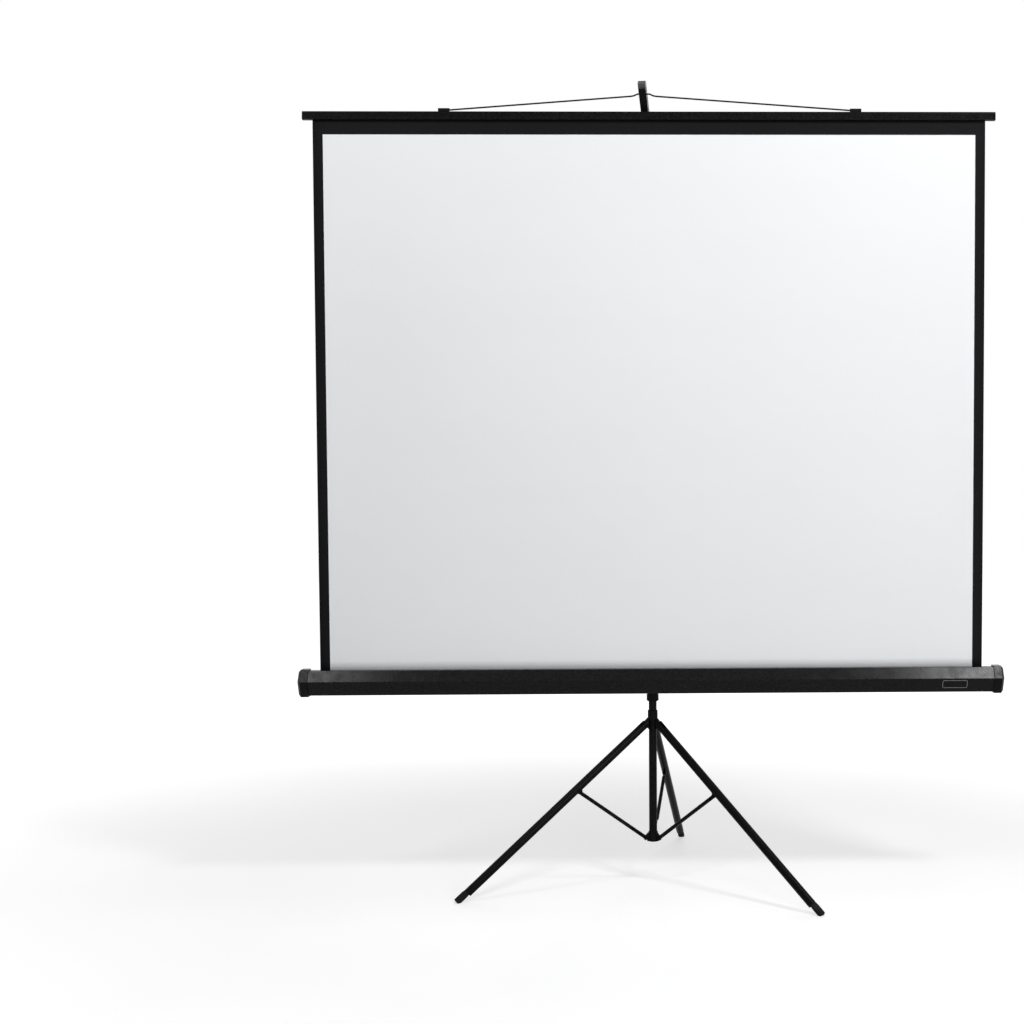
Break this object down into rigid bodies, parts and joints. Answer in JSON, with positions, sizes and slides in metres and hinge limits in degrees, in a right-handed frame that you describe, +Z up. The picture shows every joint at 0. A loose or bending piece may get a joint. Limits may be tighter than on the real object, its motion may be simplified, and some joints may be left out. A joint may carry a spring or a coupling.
{
  "type": "tripod_projection_screen",
  "caption": "Pull-up projection screen on a folding tripod: six-sided roller case, bordered sheet, top bar with wire bail on a tilting arm, telescopic mast.",
  "frame": {"origin": "on the floor below the middle of the bounding box", "axes": "+Z up the mast, +X along the case to the viewer's right, -Y towards the viewer"},
  "size_m": [1.884, 0.8972, 2.1446],
  "materials": {
    "black_paint": "satin black paint",
    "black_plastic": "matte black moulding",
    "blue_plastic": "glossy royal blue moulding",
    "rubber": "matte black rubber",
    "screen_fabric": "matte white projection fabric with a printed black border",
    "steel": "bright drawn steel"
  },
  "bodies": {
    "mast": {"column_tube": "black_paint", "lower_hub": "black_plastic"},
    "lock": {"rod_lock": "blue_plastic"},
    "collar": {"leg_collar": "black_plastic"},
    "rod": {"extension_rod": "black_paint", "rod_guide": "black_plastic", "rod_head": "steel", "arm_pin": "steel"},
    "arm": {"keystone_arm": "black_paint"},
    "slide": {"carriage": "black_plastic", "lever_pin": "steel", "pivot_bolt": "steel"},
    "lever": {"lock_lever": "black_plastic"},
    "case": {"case_shell": "black_paint", "case_saddle": "black_plastic", "end_cap_left": "black_plastic", "end_cap_right": "black_plastic", "axle_left": "steel", "axle_right": "steel", "spring_rod": "steel", "roller_spring": "steel", "screen_fabric": "screen_fabric"},
    "roller": {"roller_tube": "steel", "roller_plug_left": "black_plastic", "roller_plug_right": "black_plastic", "fabric_roll": "screen_fabric"},
    "bar": {"top_bar": "black_paint", "hem_rod": "black_plastic", "bar_cap_left": "black_plastic", "bar_cap_right": "black_plastic", "bail_clip_left": "black_plastic", "bail_clip_right": "black_plastic"},
    "bail": {"bail_wire": "steel"},
    "leg_left": {"leg_left": "black_paint", "foot_left": "rubber", "leg_pin_left": "black_paint", "brace_leg_pin_left": "black_paint"},
    "brace_left": {"brace_left": "black_paint", "brace_hub_pin_left": "black_paint"},
    "leg_right": {"leg_right": "black_paint", "foot_right": "rubber", "leg_pin_right": "black_paint", "brace_leg_pin_right": "black_paint"},
    "brace_right": {"brace_right": "black_paint", "brace_hub_pin_right": "black_paint"},
    "leg_rear": {"leg_rear": "black_paint", "foot_rear": "rubber", "leg_pin_rear": "black_paint", "brace_leg_pin_rear": "black_paint"},
    "brace_rear": {"brace_rear": "black_paint", "brace_hub_pin_rear": "black_paint"}
  },
  "joints": [
    {"name": "screen_draw", "type": "slide", "parent": "case", "child": "bar", "axis": [0, 0.0352, -0.9994], "range_m": [0, 1.4544], "deforming": ["screen_fabric"]},
    {"name": "carriage_slide", "type": "slide", "parent": "mast", "child": "slide", "axis": [0, 0, 1], "range_m": [0, 0.606]},
    {"name": "case_pivot", "type": "hinge", "parent": "slide", "child": "case", "pos_m": [0, -0.12011, 0.5589], "axis": [0, -1, 0], "range_deg": [0, 90.1]},
    {"name": "roller_spin", "type": "hinge", "parent": "case", "child": "roller", "pos_m": [0, -0.16596, 0.5589], "axis": [-1, 0, 0], "range_deg": [0, 4605]},
    {"name": "rod_slide", "type": "slide", "parent": "mast", "child": "rod", "axis": [0, 0, -1], "range_m": [0, 0.636]},
    {"name": "arm_tilt", "type": "hinge", "parent": "rod", "child": "arm", "pos_m": [0, -0.09696, 1.97381], "axis": [-0.9877, 0.1564, 0], "range_deg": [0, 60.1]},
    {"name": "bail_fold", "type": "hinge", "parent": "bar", "child": "bail", "pos_m": [0, -0.20819, 2.0744], "axis": [1, 0, 0], "range_deg": [0, 90.1]},
    {"name": "collar_slide", "type": "slide", "parent": "mast", "child": "collar", "axis": [0, 0, 1], "range_m": [0, 0.1725]},
    {"name": "leg_fold_left", "type": "hinge", "parent": "collar", "child": "leg_left", "pos_m": [-0.02241, -0.10556, 0.4309], "axis": [0.3584, -0.9336, 0], "range_deg": [0, 48.3]},
    {"name": "brace_fold_left", "type": "hinge", "parent": "leg_left", "child": "brace_left", "pos_m": [-0.19212, -0.17071, 0.25844], "axis": [0.3584, -0.9336, 0], "range_deg": [-102.92, 0]},
    {"name": "leg_fold_right", "type": "hinge", "parent": "collar", "child": "leg_right", "pos_m": [0.01865, -0.11207, 0.4309], "axis": [0.6293, 0.7771, 0], "range_deg": [0, 48.3]},
    {"name": "brace_fold_right", "type": "hinge", "parent": "leg_right", "child": "brace_right", "pos_m": [0.15993, -0.22647, 0.25844], "axis": [0.6293, 0.7771, 0], "range_deg": [-102.92, 0]},
    {"name": "leg_fold_rear", "type": "hinge", "parent": "collar", "child": "leg_rear", "pos_m": [0.00375, -0.07326, 0.4309], "axis": [-0.9877, 0.1564, 0], "range_deg": [0, 48.3]},
    {"name": "brace_fold_rear", "type": "hinge", "parent": "leg_rear", "child": "brace_rear", "pos_m": [0.03219, 0.1063, 0.25844], "axis": [-0.9877, 0.1564, 0], "range_deg": [-102.92, 0]},
    {"name": "lever_press", "type": "hinge", "parent": "slide", "child": "lever", "pos_m": [0, -0.11396, 0.6379], "axis": [-1, 0, 0], "range_deg": [0, 3.5]},
    {"name": "lock_twist", "type": "hinge", "parent": "mast", "child": "lock", "pos_m": [0, -0.09696, 1.28], "axis": [0, 0, 1], "range_deg": [0, 90]}
  ],
  "couplings": [
    {"joint": "carriage_slide", "follows": "screen_draw", "ratio": 0.41598},
    {"joint": "case_pivot", "follows": "screen_draw", "rad_per_m": 1.08},
    {"joint": "roller_spin", "follows": "screen_draw", "rad_per_m": 55.249},
    {"joint": "rod_slide", "follows": "screen_draw", "ratio": 0.43661},
    {"joint": "arm_tilt", "follows": "screen_draw", "rad_per_m": 0.72002},
    {"joint": "bail_fold", "follows": "screen_draw", "rad_per_m": 1.08},
    {"joint": "collar_slide", "follows": "screen_draw", "ratio": 0.11826},
    {"joint": "leg_fold_left", "follows": "screen_draw", "rad_per_m": 0.57842},
    {"joint": "brace_fold_left", "follows": "screen_draw", "rad_per_m": -1.2327},
    {"joint": "leg_fold_right", "follows": "screen_draw", "rad_per_m": 0.57842},
    {"joint": "brace_fold_right", "follows": "screen_draw", "rad_per_m": -1.2327},
    {"joint": "leg_fold_rear", "follows": "screen_draw", "rad_per_m": 0.57842},
    {"joint": "brace_fold_rear", "follows": "screen_draw", "rad_per_m": -1.2327}
  ]
}
